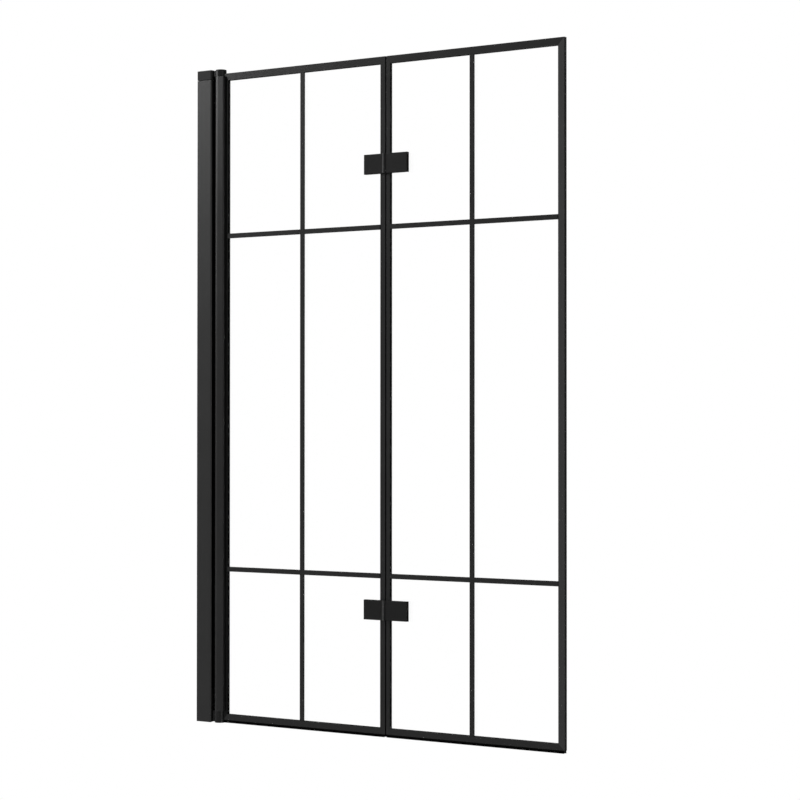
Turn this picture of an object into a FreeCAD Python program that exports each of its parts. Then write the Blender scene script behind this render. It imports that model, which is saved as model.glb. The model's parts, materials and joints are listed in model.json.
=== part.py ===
import FreeCAD, Part
import math
import os

# Folding bath screen, unfolded flat.
# A channel is screwed to the wall, an inner panel pivots on it,
# and an outer panel folds onto the inner one.
# Frame, in millimetres: +X leaves the wall, -Y is the bath side, +Z is up.
# The origin lies on the wall face, at the centre of the wall-screw holes.

# Overall size
screen_width = 900.0
screen_height = 1400.0

# Wall channel, its cap and its wall-screw holes
channel_depth = 38.0
channel_breadth = 23.6
channel_web = 2.5
channel_flange = 1.8
channel_nose_radius = 3.0
channel_return = 2.1
channel_cap_height = 21.0
channel_cap_wall = 2.0
cap_seam_height = 1.2
cap_spigot_length = 16.0
wall_hole_radius = 2.75
wall_hole_end = 100.0
wall_hole_count = 4

# Adjusting profile that slides in the channel and is screwed fast
mouth_breadth = 17.0
mouth_recess = 3.0
slide_clearance = 0.3
adjusting_wall = 1.6
adjusting_web = 2.0
adjusting_reach = 26.0
guide_rib_width = 7.0
foot_plug_height = 5.0
adjusting_screw_radius = 2.1
adjusting_screw_length = 9.0
adjusting_screw_head_radius = 4.0
adjusting_screw_head_height = 2.4
adjusting_screw_end = 140.0
adjusting_screw_count = 3
screw_cover_wall = 1.2
screw_cover_round = 0.9

# Pivot post, its brackets, pins and bushes
post_radius = 12.0
post_gap = 5.0
post_wall = 2.2
post_edge_radius = 2.5
post_groove_depth = 3.4
post_groove_clearance = 0.1
bracket_to_panel = 0.6
top_bracket_height = 14.5
bottom_bracket_height = 24.5
bracket_edge_radius = 1.0
bracket_breadth = 12.0
bracket_foot_length = 46.0
bracket_arm_setback = 2.5
bracket_screw_radius = 2.0
bracket_screw_head_radius = 3.5
bracket_screw_head_height = 2.2
bracket_screw_spacing = 20.0
pin_radius = 4.0
pin_in_bracket = 11.0
pin_in_bush = 17.0
bush_length = 20.0
bush_flange_setback = 0.8
bush_flange_thickness = 0.8
post_end_play = 0.3
seal_base_thickness = 1.4
seal_base_width = 9.0
seal_nose_width = 2.4
seal_nose_round = 1.0
seal_running_gap = 0.35

# Panels
panel_gap = 3.0
panel_top_setback = 9.4
panel_bottom_setback = 1.0
frame_thickness = 10.0
frame_lip = 1.3
frame_web = 1.5
frame_edge_radius = 0.8
lip_edge_radius = 0.4
top_rail_depth = 15.4
bottom_rail_depth = 13.2
pivot_stile_depth = 10.6
inner_meeting_stile_depth = 11.8
outer_meeting_stile_depth = 9.2
closing_stile_depth = 14.0
glass_thickness = 6.0
glass_edge_space = 3.4
gasket_setback = 0.5
gasket_floor = 0.5
gasket_clearance = 0.05
cleat_thickness = 2.6
cleat_leg = 32.0
cleat_side_clearance = 0.2
stile_screw_radius = 1.5
stile_screw_length = 6.5
stile_screw_head_radius = 3.0
stile_screw_head_height = 1.7
stile_screw_count = 6
stile_screw_end = 70.0

# Bottom seals, held in a T-slot under each bottom rail, and the seal between the panels
seal_drop = 5.5
seal_slot_mouth = 3.0
seal_slot_lip = 1.0
seal_slot_width = 5.6
seal_slot_depth = 2.5
seal_root_clearance = 0.15
seal_top_thickness = 1.3
seal_fin_thickness = 1.1
seal_fin_round = 0.4
seal_end_setback = 1.0
meeting_seal_width = 6.0
meeting_seal_base = 1.0
meeting_seal_nose = 2.0
meeting_seal_round = 0.8
meeting_seal_clearance = 0.4

# Glazing bars, taped to the front of the glass
bar_width = 10.4
bar_flat = 10.0
bar_rise = 3.2
bar_edge_radius = 0.6
bar_tape = 0.3
bar_tape_width = 8.0
bar_end_gap = 0.2
upper_cross_bar_drop = 349.2
lower_cross_bar_rise = 322.5

# Folding hinges
upper_hinge_to_bar = 103.75
lower_hinge_to_bar = 44.15
hinge_height = 40.5
hinge_projection = 9.0
hinge_seam = 1.0
inner_leaf_width = 49.0
outer_leaf_width = 55.0
leaf_edge_radius = 1.0
leaf_stile_clearance = 0.3
pad_thickness = 0.5
back_plate_thickness = 3.0
back_plate_height = 34.0
back_plate_inset = 3.0
back_plate_end_inset = 8.5
knuckle_radius = 3.2
knuckle_clearance = 0.3
axis_stand_off = 0.3
outer_knuckle_height = 16.0
hinge_pin_radius = 1.5
hinge_pin_end_setback = 0.5
knuckle_bush_radius = 2.1
clamp_screw_radius = 2.5
clamp_screw_head_radius = 4.8
clamp_screw_head_height = 2.3
clamp_screw_spacing = 18.0
clamp_screw_end_gap = 2.5
clamp_thread_relief = 0.5
clamp_socket_radius = 1.9
clamp_socket_depth = 1.6
clamp_bush_radius = 5.8
clamp_bush_clearance = 0.2

# Fits shared by several pieces
running_clearance = 0.05
tight_clearance = 0.02
screw_clearance = 0.05

# The most of a strip's half width that a round nose or fin end takes up
strip_round_share = 0.9

# Heads of the pan-head screws
pan_head_round = 0.7
driver_slot_width = 0.9
driver_slot_reach = 1.8
driver_slot_depth = 1.0

# Heights and planes worked out from the sizes above
z_top = screen_height / 2
z_bottom = -screen_height / 2
frame_top = z_top - panel_top_setback
seal_bottom = z_bottom + panel_bottom_setback
frame_bottom = seal_bottom + seal_drop
channel_top = z_top - channel_cap_height
half_frame = frame_thickness / 2
half_glass = glass_thickness / 2
half_channel = channel_breadth / 2
half_slot = half_frame - frame_lip
bottom_web = frame_web + seal_slot_depth

pivot_x = channel_depth + post_gap + post_radius
inner_x0 = pivot_x + post_radius + bracket_to_panel
post_side = inner_x0 + post_groove_depth
post_bore_radius = post_radius - post_wall
outer_x1 = screen_width
panel_width = (outer_x1 - inner_x0 - panel_gap) / 2
inner_x1 = inner_x0 + panel_width
outer_x0 = inner_x1 + panel_gap
seam_x = (inner_x1 + outer_x0) / 2

leaf_front = -(half_glass + hinge_projection)
fold_axis_y = leaf_front - axis_stand_off
cross_bar_heights = (frame_top - upper_cross_bar_drop, frame_bottom + lower_cross_bar_rise)
hinge_to_bar_centres = (bar_width + hinge_height) / 2
hinge_heights = (
    cross_bar_heights[0] + upper_hinge_to_bar + hinge_to_bar_centres,
    cross_bar_heights[1] - lower_hinge_to_bar - hinge_to_bar_centres,
)

adjusting_face = channel_depth - mouth_recess
adjusting_half = mouth_breadth / 2 - slide_clearance
adjusting_start = adjusting_face - adjusting_reach
post_bottom = z_bottom + bottom_bracket_height + post_end_play / 2 + bush_flange_thickness
post_top = z_top - top_bracket_height - post_end_play - bush_flange_thickness

X_AXIS = FreeCAD.Vector(1, 0, 0)
Y_AXIS = FreeCAD.Vector(0, 1, 0)
Z_AXIS = FreeCAD.Vector(0, 0, 1)


def vec(x, y, z):
    return FreeCAD.Vector(x, y, z)


def box(x0, x1, y0, y1, z0, z1):
    """A block between two corners."""
    return Part.makeBox(x1 - x0, y1 - y0, z1 - z0, vec(x0, y0, z0))


def rod(radius, start, axis, length):
    """A cylinder from a point along an axis."""
    return Part.makeCylinder(radius, length, start, axis)


def outline(corners, place):
    """A closed wire through (u, v, radius) corners, with an arc at each rounded one."""
    edges = []
    spans = []
    count = len(corners)
    for i, (u, v, radius) in enumerate(corners):
        here = vec(u, v, 0)
        back = vec(*corners[i - 1][:2], 0) - here
        ahead = vec(*corners[(i + 1) % count][:2], 0) - here
        back.normalize()
        ahead.normalize()
        if radius == 0:
            spans.append((here, None, here))
            continue
        half = back.getAngle(ahead) / 2
        run = radius / math.tan(half)
        middle = back + ahead
        middle.normalize()
        apex = here + middle * (radius / math.sin(half) - radius)
        spans.append((here + back * run, apex, here + ahead * run))
    for i, (start, apex, end) in enumerate(spans):
        if apex is not None:
            edges.append(Part.Arc(place(start), place(apex), place(end)).toShape())
        following = spans[(i + 1) % count][0]
        if end.distanceToPoint(following) > 1e-6:
            edges.append(Part.LineSegment(place(end), place(following)).toShape())
    return Part.Wire(edges)


def prism(corners, place, run):
    """A solid with the given rounded outline, drawn out along a vector."""
    return Part.Face(outline(corners, place)).extrude(run)


def plan_prism(corners, z0, z1):
    """An upright prism from an outline in plan."""
    return prism(corners, lambda p: vec(p.x, p.y, z0), Z_AXIS * (z1 - z0))


def elevation_prism(corners, half_thickness):
    """A prism from an outline seen from the front, as thick as twice the given half."""
    sharp = [(x, z, 0) for x, z in corners]
    return prism(sharp, lambda p: vec(p.x, -half_thickness, p.y), Y_AXIS * (2 * half_thickness))


def evenly(first, last, count):
    return [first + (last - first) * i / (count - 1) for i in range(count)]


def wall_hole_heights():
    return evenly(z_bottom + wall_hole_end, z_top - wall_hole_end, wall_hole_count)


def adjusting_screw_heights():
    return evenly(z_bottom + adjusting_screw_end, z_top - adjusting_screw_end, adjusting_screw_count)


def channel_outline():
    """The channel's outline in plan."""
    r = channel_nose_radius
    h = half_channel
    return [(0, -h, 0), (channel_depth, -h, r), (channel_depth, h, r), (0, h, 0)]


# Wall channel and adjusting profile

def wall_channel():
    """A C-section with inturned lips, guide ribs and holes for the wall screws."""
    solid = plan_prism(channel_outline(), z_bottom, channel_top)
    cavity_half = half_channel - channel_flange
    lip_face = channel_depth - channel_return
    solid = solid.cut(box(channel_web, lip_face, -cavity_half, cavity_half, z_bottom, channel_top))
    mouth = mouth_breadth / 2
    solid = solid.cut(box(lip_face, channel_depth, -mouth, mouth, z_bottom, channel_top))
    rib_x = adjusting_screw_x() - guide_rib_width / 2
    for y0, y1 in ((-cavity_half, -mouth), (mouth, cavity_half)):
        solid = solid.fuse(box(rib_x, rib_x + guide_rib_width, y0, y1, z_bottom, channel_top))
    for z in wall_hole_heights():
        solid = solid.cut(rod(wall_hole_radius, vec(0, 0, z), X_AXIS, channel_web))
    for z in adjusting_screw_heights():
        hole = adjusting_screw_radius + screw_clearance
        solid = solid.cut(rod(hole, vec(adjusting_screw_x(), mouth, z), Y_AXIS, half_channel - mouth))
    return solid.removeSplitter()


def adjusting_screw_x():
    """The screws stand midway along the adjusting profile's flanges."""
    return adjusting_start + adjusting_reach / 2


def adjusting_profile():
    """A U-section, open to the wall, whose web carries the pivot brackets."""
    half = adjusting_half
    solid = box(adjusting_start, adjusting_face, -half, half, z_bottom, channel_top)
    inner = half - adjusting_wall
    web_face = adjusting_face - adjusting_web
    solid = solid.cut(box(adjusting_start, web_face, -inner, inner, z_bottom, channel_top))
    for z in bracket_screw_heights():
        hole = bracket_screw_radius + screw_clearance
        solid = solid.cut(rod(hole, vec(web_face, 0, z), X_AXIS, adjusting_web))
    for z in adjusting_screw_heights():
        hole = adjusting_screw_radius + tight_clearance
        solid = solid.cut(rod(hole, vec(adjusting_screw_x(), inner, z), Y_AXIS, adjusting_wall))
    return solid


def wall_channel_top_cap():
    """A hollow cap that its spigot, inside the adjusting profile, holds a shadow gap above the channel."""
    foot = channel_top + cap_seam_height
    solid = plan_prism(channel_outline(), foot, z_top)
    wall = channel_cap_wall
    inside = half_channel - wall
    roof = z_top - wall
    solid = solid.cut(box(wall, channel_depth - wall, -inside, inside, foot, roof))
    half = adjusting_half - adjusting_wall - slide_clearance
    x0 = adjusting_start + wall
    x1 = adjusting_face - adjusting_web - bracket_screw_head_height - slide_clearance
    spigot = box(x0, x1, -half, half, channel_top - cap_spigot_length, roof)
    hollow = box(x0 + wall, x1 - wall, -half + wall, half - wall, channel_top - cap_spigot_length, roof)
    solid = solid.fuse(spigot.cut(hollow))
    notch = bracket_breadth / 2 + slide_clearance
    arm_top = z_top - bracket_arm_setback + slide_clearance
    solid = solid.cut(box(channel_depth - wall, channel_depth, -notch, notch, foot, arm_top))
    return solid.removeSplitter()


def wall_channel_foot_plug():
    """A plate with a rim that closes the adjusting profile's lower end."""
    half = adjusting_half - adjusting_wall - slide_clearance
    x0 = adjusting_start
    x1 = adjusting_face - adjusting_web - slide_clearance
    rim = channel_cap_wall
    top = z_bottom + foot_plug_height
    solid = box(x0, x1, -half, half, z_bottom, top)
    return solid.cut(box(x0 + rim, x1 - rim, -half + rim, half - rim, z_bottom + rim, top))


def cross_slot(centre, axis):
    """A crossed driver slot cut along an axis from a head's face."""
    reach = driver_slot_reach
    half = driver_slot_width / 2
    slot = box(-reach, reach, -half, half, 0, driver_slot_depth)
    slot = slot.fuse(box(-half, half, -reach, reach, 0, driver_slot_depth))
    slot.Placement = FreeCAD.Placement(centre, FreeCAD.Rotation(Z_AXIS, axis))
    return slot


def rim_nearest(solid, centre):
    """The round edge of a turned shape whose centre lies nearest a point."""
    rounds = [e for e in solid.Edges if e.isClosed()]
    return min(rounds, key=lambda e: (e.CenterOfMass - centre).Length)


def pan_screw(seat, axis, radius, length, head_radius, head_height):
    """A pan-head screw: the shank runs along the axis from its seat, and the head stands behind it."""
    face = seat - axis * head_height
    head = rod(head_radius, face, axis, head_height)
    head = head.makeFillet(pan_head_round, [rim_nearest(head, face)])
    solid = head.fuse(rod(radius, seat, axis, length))
    return solid.cut(cross_slot(face, axis))


def adjusting_screws():
    return [
        pan_screw(
            vec(adjusting_screw_x(), half_channel, z), Y_AXIS * -1, adjusting_screw_radius,
            adjusting_screw_length, adjusting_screw_head_radius, adjusting_screw_head_height,
        )
        for z in adjusting_screw_heights()
    ]


def adjusting_screw_covers():
    """Round push-on covers over the adjusting screws' heads."""
    covers = []
    room = adjusting_screw_head_radius + slide_clearance
    height = adjusting_screw_head_height + slide_clearance
    for z in adjusting_screw_heights():
        seat = vec(adjusting_screw_x(), half_channel, z)
        shell = rod(room + screw_cover_wall, seat, Y_AXIS, height + screw_cover_wall)
        face = seat + Y_AXIS * (height + screw_cover_wall)
        shell = shell.makeFillet(screw_cover_round, [rim_nearest(shell, face)])
        covers.append(shell.cut(rod(room, seat, Y_AXIS, height)))
    return covers


# Pivot brackets, pins, bushes and seal

def top_arm():
    """The lowest and highest levels of the top bracket's arm."""
    return z_top - top_bracket_height, z_top - bracket_arm_setback


def bottom_arm():
    """The lowest and highest levels of the bottom bracket's arm."""
    return z_bottom + bracket_arm_setback, z_bottom + bottom_bracket_height


def foot_screws(level, sign):
    """Two screw heights in the part of a bracket's foot that lies clear of its arm."""
    first = level + sign * (bracket_foot_length - bracket_screw_spacing) / 2
    return [first, first + sign * bracket_screw_spacing]


def top_foot_start():
    """The highest level of the top bracket's foot that is clear of its arm and of the cap's spigot."""
    return min(top_arm()[0], channel_top - cap_spigot_length)


def bracket_screw_heights():
    return foot_screws(top_foot_start(), -1) + foot_screws(bottom_arm()[1], 1)


def pivot_bracket(head_low, head_high, arm_low, arm_high, foot_low, foot_high, pin_from, rim_z):
    """A head in line with the post's round side, an arm to it, and a foot on the adjusting profile's web."""
    half = bracket_breadth / 2
    head = rod(post_radius, vec(pivot_x, 0, head_low), Z_AXIS, head_high - head_low)
    head = head.makeFillet(bracket_edge_radius, [rim_nearest(head, vec(pivot_x, 0, rim_z))])
    solid = head.fuse(box(adjusting_face, pivot_x, -half, half, arm_low, arm_high))
    solid = solid.fuse(box(adjusting_face, channel_depth, -half, half, foot_low, foot_high))
    solid = solid.cut(rod(pin_radius + tight_clearance, vec(pivot_x, 0, pin_from), Z_AXIS, pin_in_bracket))
    for z in bracket_screw_heights():
        if foot_low < z < foot_high:
            hole = bracket_screw_radius + screw_clearance
            solid = solid.cut(rod(hole, vec(adjusting_face, 0, z), X_AXIS, mouth_recess))
    return solid.removeSplitter()


def top_foot_low():
    return top_foot_start() - bracket_foot_length


def bottom_foot_high():
    return bottom_arm()[1] + bracket_foot_length


def top_pivot_bracket():
    low, high = top_arm()
    return pivot_bracket(low, z_top, low, high, top_foot_low(), high, low, z_top)


def bottom_pivot_bracket():
    low, high = bottom_arm()
    foot = bottom_foot_high()
    pin_from = high - pin_in_bracket
    return pivot_bracket(z_bottom, high, low, high, low, foot, pin_from, z_bottom)


def pivot_bracket_screws():
    seat_x = adjusting_face - adjusting_web
    return [
        pan_screw(
            vec(seat_x, 0, z), X_AXIS, bracket_screw_radius, adjusting_web + mouth_recess,
            bracket_screw_head_radius, bracket_screw_head_height,
        )
        for z in bracket_screw_heights()
    ]


def top_pivot_pin():
    low = top_arm()[0] - pin_in_bush
    return rod(pin_radius, vec(pivot_x, 0, low), Z_AXIS, pin_in_bush + pin_in_bracket)


def bottom_pivot_pin():
    low = bottom_arm()[1] - pin_in_bracket
    return rod(pin_radius, vec(pivot_x, 0, low), Z_AXIS, pin_in_bush + pin_in_bracket)


def pivot_bush(end, into):
    """A flanged bush in the end of the post: its flange lies outside, its sleeve runs into the bore."""
    axis = Z_AXIS * into
    start = vec(pivot_x, 0, end)
    sleeve = rod(post_bore_radius - running_clearance, start, axis, bush_length)
    flange_radius = post_radius - bush_flange_setback
    flange = rod(flange_radius, start - axis * bush_flange_thickness, axis, bush_flange_thickness)
    bore_start = start - axis * bush_flange_thickness
    bore = rod(pin_radius + running_clearance, bore_start, axis, bush_length + bush_flange_thickness)
    return sleeve.fuse(flange).cut(bore)


def pivot_seal():
    """A finned strip on the adjusting profile's web that reaches almost to the turning post.

    Its base is trimmed off at both ends, where the fin runs on over the brackets' feet.
    """
    half = seal_base_width / 2
    nose = seal_nose_width / 2
    tip = pivot_x - post_radius - seal_running_gap
    base = adjusting_face + seal_base_thickness
    turn = min(seal_nose_round, strip_round_share * nose)
    corners = [
        (adjusting_face, -half, 0), (base, -half, 0), (base, -half / 2, 0), (tip, -nose, turn),
        (tip, nose, turn), (base, half / 2, 0), (base, half, 0), (adjusting_face, half, 0),
    ]
    low = bottom_arm()[1] + slide_clearance
    high = top_arm()[0] - slide_clearance
    solid = plan_prism(corners, low, high)
    foot_face = channel_depth + running_clearance
    for z0, z1 in ((low, bottom_foot_high() + slide_clearance), (top_foot_low() - slide_clearance, high)):
        solid = solid.cut(box(adjusting_face, foot_face, -half, half, z0, z1))
    return solid


# Pivot profile: the post that the inner panel is screwed to

def stile_screw_heights():
    return evenly(post_bottom + stile_screw_end, post_top - stile_screw_end, stile_screw_count)


def pivot_profile():
    """A D-shaped tube, round towards the wall, with a groove that the panel's pivot stile sits in."""
    length = post_top - post_bottom
    r = post_radius
    turn = post_edge_radius
    solid = rod(r, vec(pivot_x, 0, post_bottom), Z_AXIS, length)
    corners = [(pivot_x, -r, 0), (post_side, -r, turn), (post_side, r, turn), (pivot_x, r, 0)]
    solid = solid.fuse(plan_prism(corners, post_bottom, post_top))
    groove = half_frame + post_groove_clearance
    solid = solid.cut(box(inner_x0, post_side, -groove, groove, post_bottom, post_top))
    solid = solid.cut(rod(post_bore_radius, vec(pivot_x, 0, post_bottom), Z_AXIS, length))
    for z in stile_screw_heights():
        hole = stile_screw_radius + tight_clearance
        solid = solid.cut(rod(hole, vec(inner_x0, 0, z), X_AXIS * -1, stile_screw_length - frame_web))
    return solid.removeSplitter()


def pivot_profile_screws():
    return [
        pan_screw(
            vec(inner_x0 + frame_web, 0, z), X_AXIS * -1, stile_screw_radius, stile_screw_length,
            stile_screw_head_radius, stile_screw_head_height,
        )
        for z in stile_screw_heights()
    ]


# One framed glass panel

class Panel:
    """The outline of one panel: its frame, its glass and the clear glass inside the frame's lips."""

    def __init__(self, x0, x1, left_depth, right_depth):
        self.x0 = x0
        self.x1 = x1
        self.left_depth = left_depth
        self.right_depth = right_depth
        low = frame_bottom + bottom_rail_depth
        self.clear = (x0 + left_depth, low, x1 - right_depth, frame_top - top_rail_depth)
        edge = frame_web + glass_edge_space
        bottom_edge = bottom_web + glass_edge_space
        self.glass = (x0 + edge, frame_bottom + bottom_edge, x1 - edge, frame_top - edge)
        self.bar_x = (self.clear[0] + self.clear[2]) / 2


def channel_section(depth, web):
    """The corners of a frame member's U-section: across the panel, then in from its outer edge."""
    outer = frame_edge_radius
    tip = lip_edge_radius
    return [
        (-half_frame, 0, outer), (half_frame, 0, outer), (half_frame, depth, tip), (half_slot, depth, tip),
        (half_slot, web, 0), (-half_slot, web, 0), (-half_slot, depth, tip), (-half_frame, depth, tip),
    ]


def ring_sides(outer, inner):
    """The four mitred trapezoids, seen from the front, between two rectangles."""
    ox0, oz0, ox1, oz1 = outer
    ix0, iz0, ix1, iz1 = inner
    return {
        "top": [(ox0, oz1), (ox1, oz1), (ix1, iz1), (ix0, iz1)],
        "bottom": [(ox0, oz0), (ox1, oz0), (ix1, iz0), (ix0, iz0)],
        "left": [(ox0, oz0), (ox0, oz1), (ix0, iz1), (ix0, iz0)],
        "right": [(ox1, oz0), (ox1, oz1), (ix1, iz1), (ix1, iz0)],
    }


def frame_members(panel):
    """Four U-sections, mitred at the corners: top, bottom, left and right."""
    across = X_AXIS * (panel.x1 - panel.x0)
    upright = Z_AXIS * (frame_top - frame_bottom)
    members = {
        "top": (top_rail_depth, frame_web, lambda p: vec(panel.x0, p.x, frame_top - p.y), across),
        "bottom": (bottom_rail_depth, bottom_web, lambda p: vec(panel.x0, p.x, frame_bottom + p.y), across),
        "left": (panel.left_depth, frame_web, lambda p: vec(panel.x0 + p.y, p.x, frame_bottom), upright),
        "right": (panel.right_depth, frame_web, lambda p: vec(panel.x1 - p.y, p.x, frame_bottom), upright),
    }
    outer = (panel.x0, frame_bottom, panel.x1, frame_top)
    for side, corners in ring_sides(outer, panel.clear).items():
        depth, web, place, run = members[side]
        length = prism(channel_section(depth, web), place, run)
        members[side] = length.common(elevation_prism(corners, half_frame))
    slot_top = frame_bottom + seal_slot_depth
    mouth = seal_slot_mouth / 2
    wide = seal_slot_width / 2
    slot = box(panel.x0, panel.x1, -mouth, mouth, frame_bottom, slot_top)
    slot = slot.fuse(box(panel.x0, panel.x1, -wide, wide, frame_bottom + seal_slot_lip, slot_top))
    members["bottom"] = members["bottom"].cut(slot)
    return members


def pivot_stile(member):
    """The inner panel's pivot stile, with the holes that its screws pass through."""
    for z in stile_screw_heights():
        hole = stile_screw_radius + screw_clearance
        member = member.cut(rod(hole, vec(inner_x0, 0, z), X_AXIS, frame_web))
    return member


def glass_block(panel, grow):
    """The pane without its holes, grown all round by a clearance."""
    x0, z0, x1, z1 = panel.glass
    half = half_glass + grow
    return box(x0 - grow, x1 + grow, -half, half, z0 - grow, z1 + grow)


def glass_pane(panel, leaf):
    """A pane with round holes for the hinge screws and their bushes."""
    solid = glass_block(panel, 0)
    for x, z in clamp_points(leaf):
        start = vec(x, -half_glass, z)
        solid = solid.cut(rod(clamp_bush_radius + clamp_bush_clearance, start, Y_AXIS, glass_thickness))
    return solid


def glazing_gasket(panel):
    """A ring of U-shaped rubber between the glass and the frame's lips."""
    x0, z0, x1, z1 = panel.glass
    rim = gasket_floor
    solid = box(x0 - rim, x1 + rim, -half_slot, half_slot, z0 - rim, z1 + rim)
    x0, z0, x1, z1 = panel.clear
    gap = gasket_setback
    solid = solid.cut(box(x0 - gap, x1 + gap, -half_slot, half_slot, z0 - gap, z1 + gap))
    return solid.cut(glass_block(panel, gasket_clearance))


def corner_cleats(panel):
    """An angle in each corner of the frame, between the webs and the glass."""
    half = half_slot - cleat_side_clearance
    cleats = []
    for x, toward_x in ((panel.x0 + frame_web, 1), (panel.x1 - frame_web, -1)):
        for z, toward_z in ((frame_bottom + bottom_web, 1), (frame_top - frame_web, -1)):
            thick_x = x + toward_x * cleat_thickness
            thick_z = z + toward_z * cleat_thickness
            leg_x = x + toward_x * cleat_leg
            leg_z = z + toward_z * cleat_leg
            corners = [
                (x, z), (leg_x, z), (leg_x, thick_z), (thick_x, thick_z), (thick_x, leg_z), (x, leg_z),
            ]
            cleats.append(elevation_prism(corners, half))
    return cleats


def bar_section():
    """A flat-topped bar with sloping sides and rounded edges: across the bar, then out from the tape."""
    base = bar_width / 2
    top = bar_flat / 2
    r = bar_edge_radius
    return [(-base, 0, 0), (base, 0, 0), (top, bar_rise, r), (-top, bar_rise, r)]


def vertical_bar(panel):
    _, z0, _, z1 = panel.clear
    low = z0 + bar_end_gap
    seat = -(half_glass + bar_tape)
    length = Z_AXIS * (z1 - z0 - 2 * bar_end_gap)
    return prism(bar_section(), lambda p: vec(panel.bar_x + p.x, seat - p.y, low), length)


def cross_bar_spans(panel, middle):
    """Where the two halves of a cross bar start and end, either side of the upright bar."""
    x0, _, x1, _ = panel.clear
    return ((x0 + bar_end_gap, panel.bar_x - middle), (panel.bar_x + middle, x1 - bar_end_gap))


def cross_bars(panel, upright):
    """Two cross bars, each in two lengths coped to the upright bar's sides."""
    seat = -(half_glass + bar_tape)
    bars = []
    for z in cross_bar_heights:
        for x0, x1 in cross_bar_spans(panel, bar_flat / 2):
            bar = prism(bar_section(), lambda p: vec(x0, seat - p.y, z + p.x), X_AXIS * (x1 - x0))
            bars.append(bar.cut(upright))
    return bars


def bar_tapes(panel):
    """Strips of tape between the bars and the glass."""
    half = bar_tape_width / 2
    front = -(half_glass + bar_tape)
    _, z0, _, z1 = panel.clear
    x = panel.bar_x
    tapes = [box(x - half, x + half, front, -half_glass, z0 + bar_end_gap, z1 - bar_end_gap)]
    for z in cross_bar_heights:
        for x0, x1 in cross_bar_spans(panel, half):
            tapes.append(box(x0, x1, front, -half_glass, z - half, z + half))
    return tapes


def bottom_seal(panel):
    """A strip with two fins, and a T-shaped root that fills the rail's slot between the stiles."""
    half = half_frame - frame_edge_radius
    inside = half - seal_fin_thickness
    turn = min(seal_fin_round, strip_round_share * seal_fin_thickness / 2)
    under = frame_bottom - seal_top_thickness
    fins = [
        (half, frame_bottom, 0), (half, seal_bottom, turn),
        (inside, seal_bottom, turn), (inside, under, 0),
        (-inside, under, 0), (-inside, seal_bottom, turn),
        (-half, seal_bottom, turn), (-half, frame_bottom, 0),
    ]
    x0 = panel.x0 + seal_end_setback
    x1 = panel.x1 - seal_end_setback
    solid = prism(fins, lambda p: vec(x0, p.x, p.y), X_AXIS * (x1 - x0))
    gap = seal_root_clearance
    neck = seal_slot_mouth / 2 - gap
    head = seal_slot_width / 2 - gap
    lip = frame_bottom + seal_slot_lip + gap
    root_top = frame_bottom + seal_slot_depth - gap
    left, _, right, _ = panel.clear
    solid = solid.fuse(box(left, right, -neck, neck, frame_bottom, root_top))
    return solid.fuse(box(left, right, -head, head, lip, root_top)).removeSplitter()


def meeting_seal():
    """A strip with a rounded nose on the inner panel's edge, in the gap between the panels."""
    half = meeting_seal_width / 2
    nose = meeting_seal_nose / 2
    base = inner_x1 + meeting_seal_base
    tip = outer_x0 - meeting_seal_clearance
    turn = min(meeting_seal_round, strip_round_share * nose)
    corners = [
        (inner_x1, -half, 0), (base, -half, 0), (base, -nose, 0), (tip, -nose, turn),
        (tip, nose, turn), (base, nose, 0), (base, half, 0), (inner_x1, half, 0),
    ]
    return plan_prism(corners, frame_bottom + frame_edge_radius, frame_top - frame_edge_radius)


# Folding hinges: on each panel a front leaf, a back plate, pads, bushes and two screws

class Leaf:
    """Where one hinge leaf, its clamp and its frame stile lie along the screen."""

    def __init__(self, side, width, stile_edge, stile_depth):
        self.side = side
        self.near = seam_x + side * hinge_seam / 2
        self.far = self.near + side * width
        self.stile = stile_edge + side * (stile_depth + leaf_stile_clearance)
        self.plate_near = self.stile + side * back_plate_inset
        self.plate_far = self.far - side * back_plate_end_inset
        self.screw_x = (self.plate_near + self.plate_far) / 2


inner_panel = Panel(inner_x0, inner_x1, pivot_stile_depth, inner_meeting_stile_depth)
outer_panel = Panel(outer_x0, outer_x1, outer_meeting_stile_depth, closing_stile_depth)
inner_leaf = Leaf(-1, inner_leaf_width, inner_x1, inner_meeting_stile_depth)
outer_leaf = Leaf(1, outer_leaf_width, outer_x0, outer_meeting_stile_depth)


def clamp_heights(z):
    return (z - clamp_screw_spacing / 2, z + clamp_screw_spacing / 2)


def clamp_points(leaf):
    return [(leaf.screw_x, z) for hinge_z in hinge_heights for z in clamp_heights(hinge_z)]


def knuckle_spans(z, side):
    """The levels of a leaf's knuckles: the outer leaf has one in the middle, the inner one at each end."""
    half = hinge_height / 2
    middle = outer_knuckle_height / 2
    if side > 0:
        return [(z - middle, z + middle)]
    gap = knuckle_clearance
    return [(z - half, z - middle - gap), (z + middle + gap, z + half)]


def barrel(radius, low, high):
    return rod(radius, vec(seam_x, fold_axis_y, low), Z_AXIS, high - low)


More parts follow.
